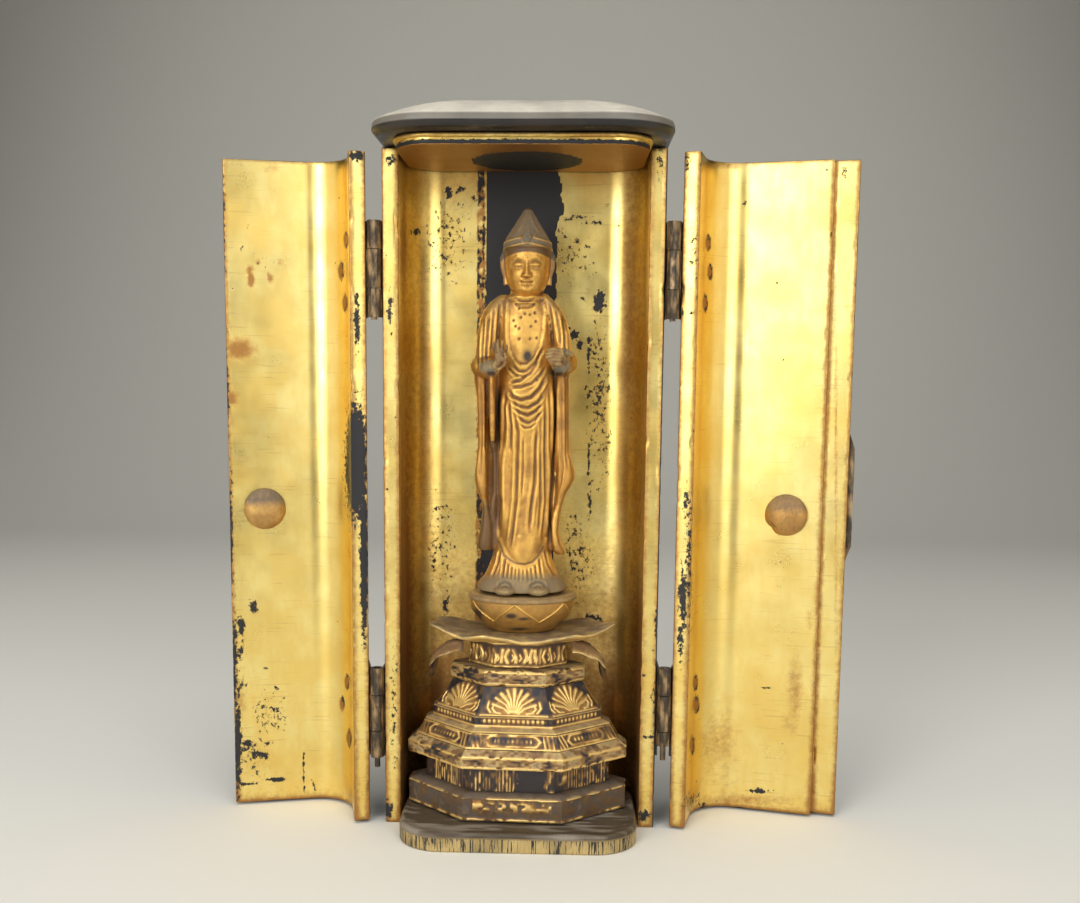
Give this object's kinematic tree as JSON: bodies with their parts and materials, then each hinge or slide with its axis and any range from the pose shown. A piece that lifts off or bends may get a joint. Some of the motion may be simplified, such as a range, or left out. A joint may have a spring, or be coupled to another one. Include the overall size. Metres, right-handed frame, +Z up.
{
  "type": "buddhist altar",
  "caption": "Portable lacquered shrine with a domed roof, hinged gilt-lined doors and a carved standing figure on a tiered pedestal.",
  "frame": {"origin": "on the underside, below the line where the doors meet the case, midway between the case's sides", "axes": "+Z up, +X to the viewer's right, +Y towards the back of the case"},
  "size_m": [0.2667, 0.0807, 0.2946],
  "materials": {
    "gold_leaf": "gold leaf over lacquered wood",
    "aged_gilt": "carved wood, worn gilding over black lacquer",
    "black_lacquer": "black lacquer, dusty on top",
    "dark_metal": "dark patinated copper alloy"
  },
  "bodies": {
    "case": {"case_shell": "gold_leaf", "ceiling_board": "gold_leaf", "roof": "black_lacquer", "base_slab": "aged_gilt", "figure": "aged_gilt", "lotus_seat": "aged_gilt", "leaf_plate": "aged_gilt", "hanging_leaf_left": "aged_gilt", "hanging_leaf_right": "aged_gilt", "pedestal_drum": "aged_gilt", "pedestal_neck_plate": "aged_gilt", "pedestal_palmette_tier": "aged_gilt", "pedestal_cartouche_tier": "aged_gilt", "pedestal_wide_plate": "aged_gilt", "pedestal_waist": "aged_gilt", "pedestal_foot_plate": "aged_gilt", "hinge_upper_left_case_leaf": "dark_metal", "hinge_upper_left_pin": "dark_metal", "hinge_upper_right_case_leaf": "dark_metal", "hinge_upper_right_pin": "dark_metal", "hinge_lower_left_case_leaf": "dark_metal", "hinge_lower_left_pin": "dark_metal", "hinge_lower_right_case_leaf": "dark_metal", "hinge_lower_right_pin": "dark_metal"},
    "door_left": {"door_left": "gold_leaf", "boss_left": "aged_gilt", "hinge_upper_left_door_leaf": "dark_metal", "hinge_lower_left_door_leaf": "dark_metal"},
    "door_right": {"door_right": "gold_leaf", "boss_right": "aged_gilt", "hinge_upper_right_door_leaf": "dark_metal", "hinge_lower_right_door_leaf": "dark_metal", "latch_plate": "dark_metal"}
  },
  "joints": [
    {"name": "door_left_hinge", "type": "hinge", "parent": "case", "child": "door_left", "pos_m": [-0.06025, 0, 0.14], "axis": [0, 0, 1], "range_deg": [-13.4, 166.5]},
    {"name": "door_right_hinge", "type": "hinge", "parent": "case", "child": "door_right", "pos_m": [0.06025, 0, 0.14], "axis": [0, 0, -1], "range_deg": [-14.4, 165.5]}
  ]
}
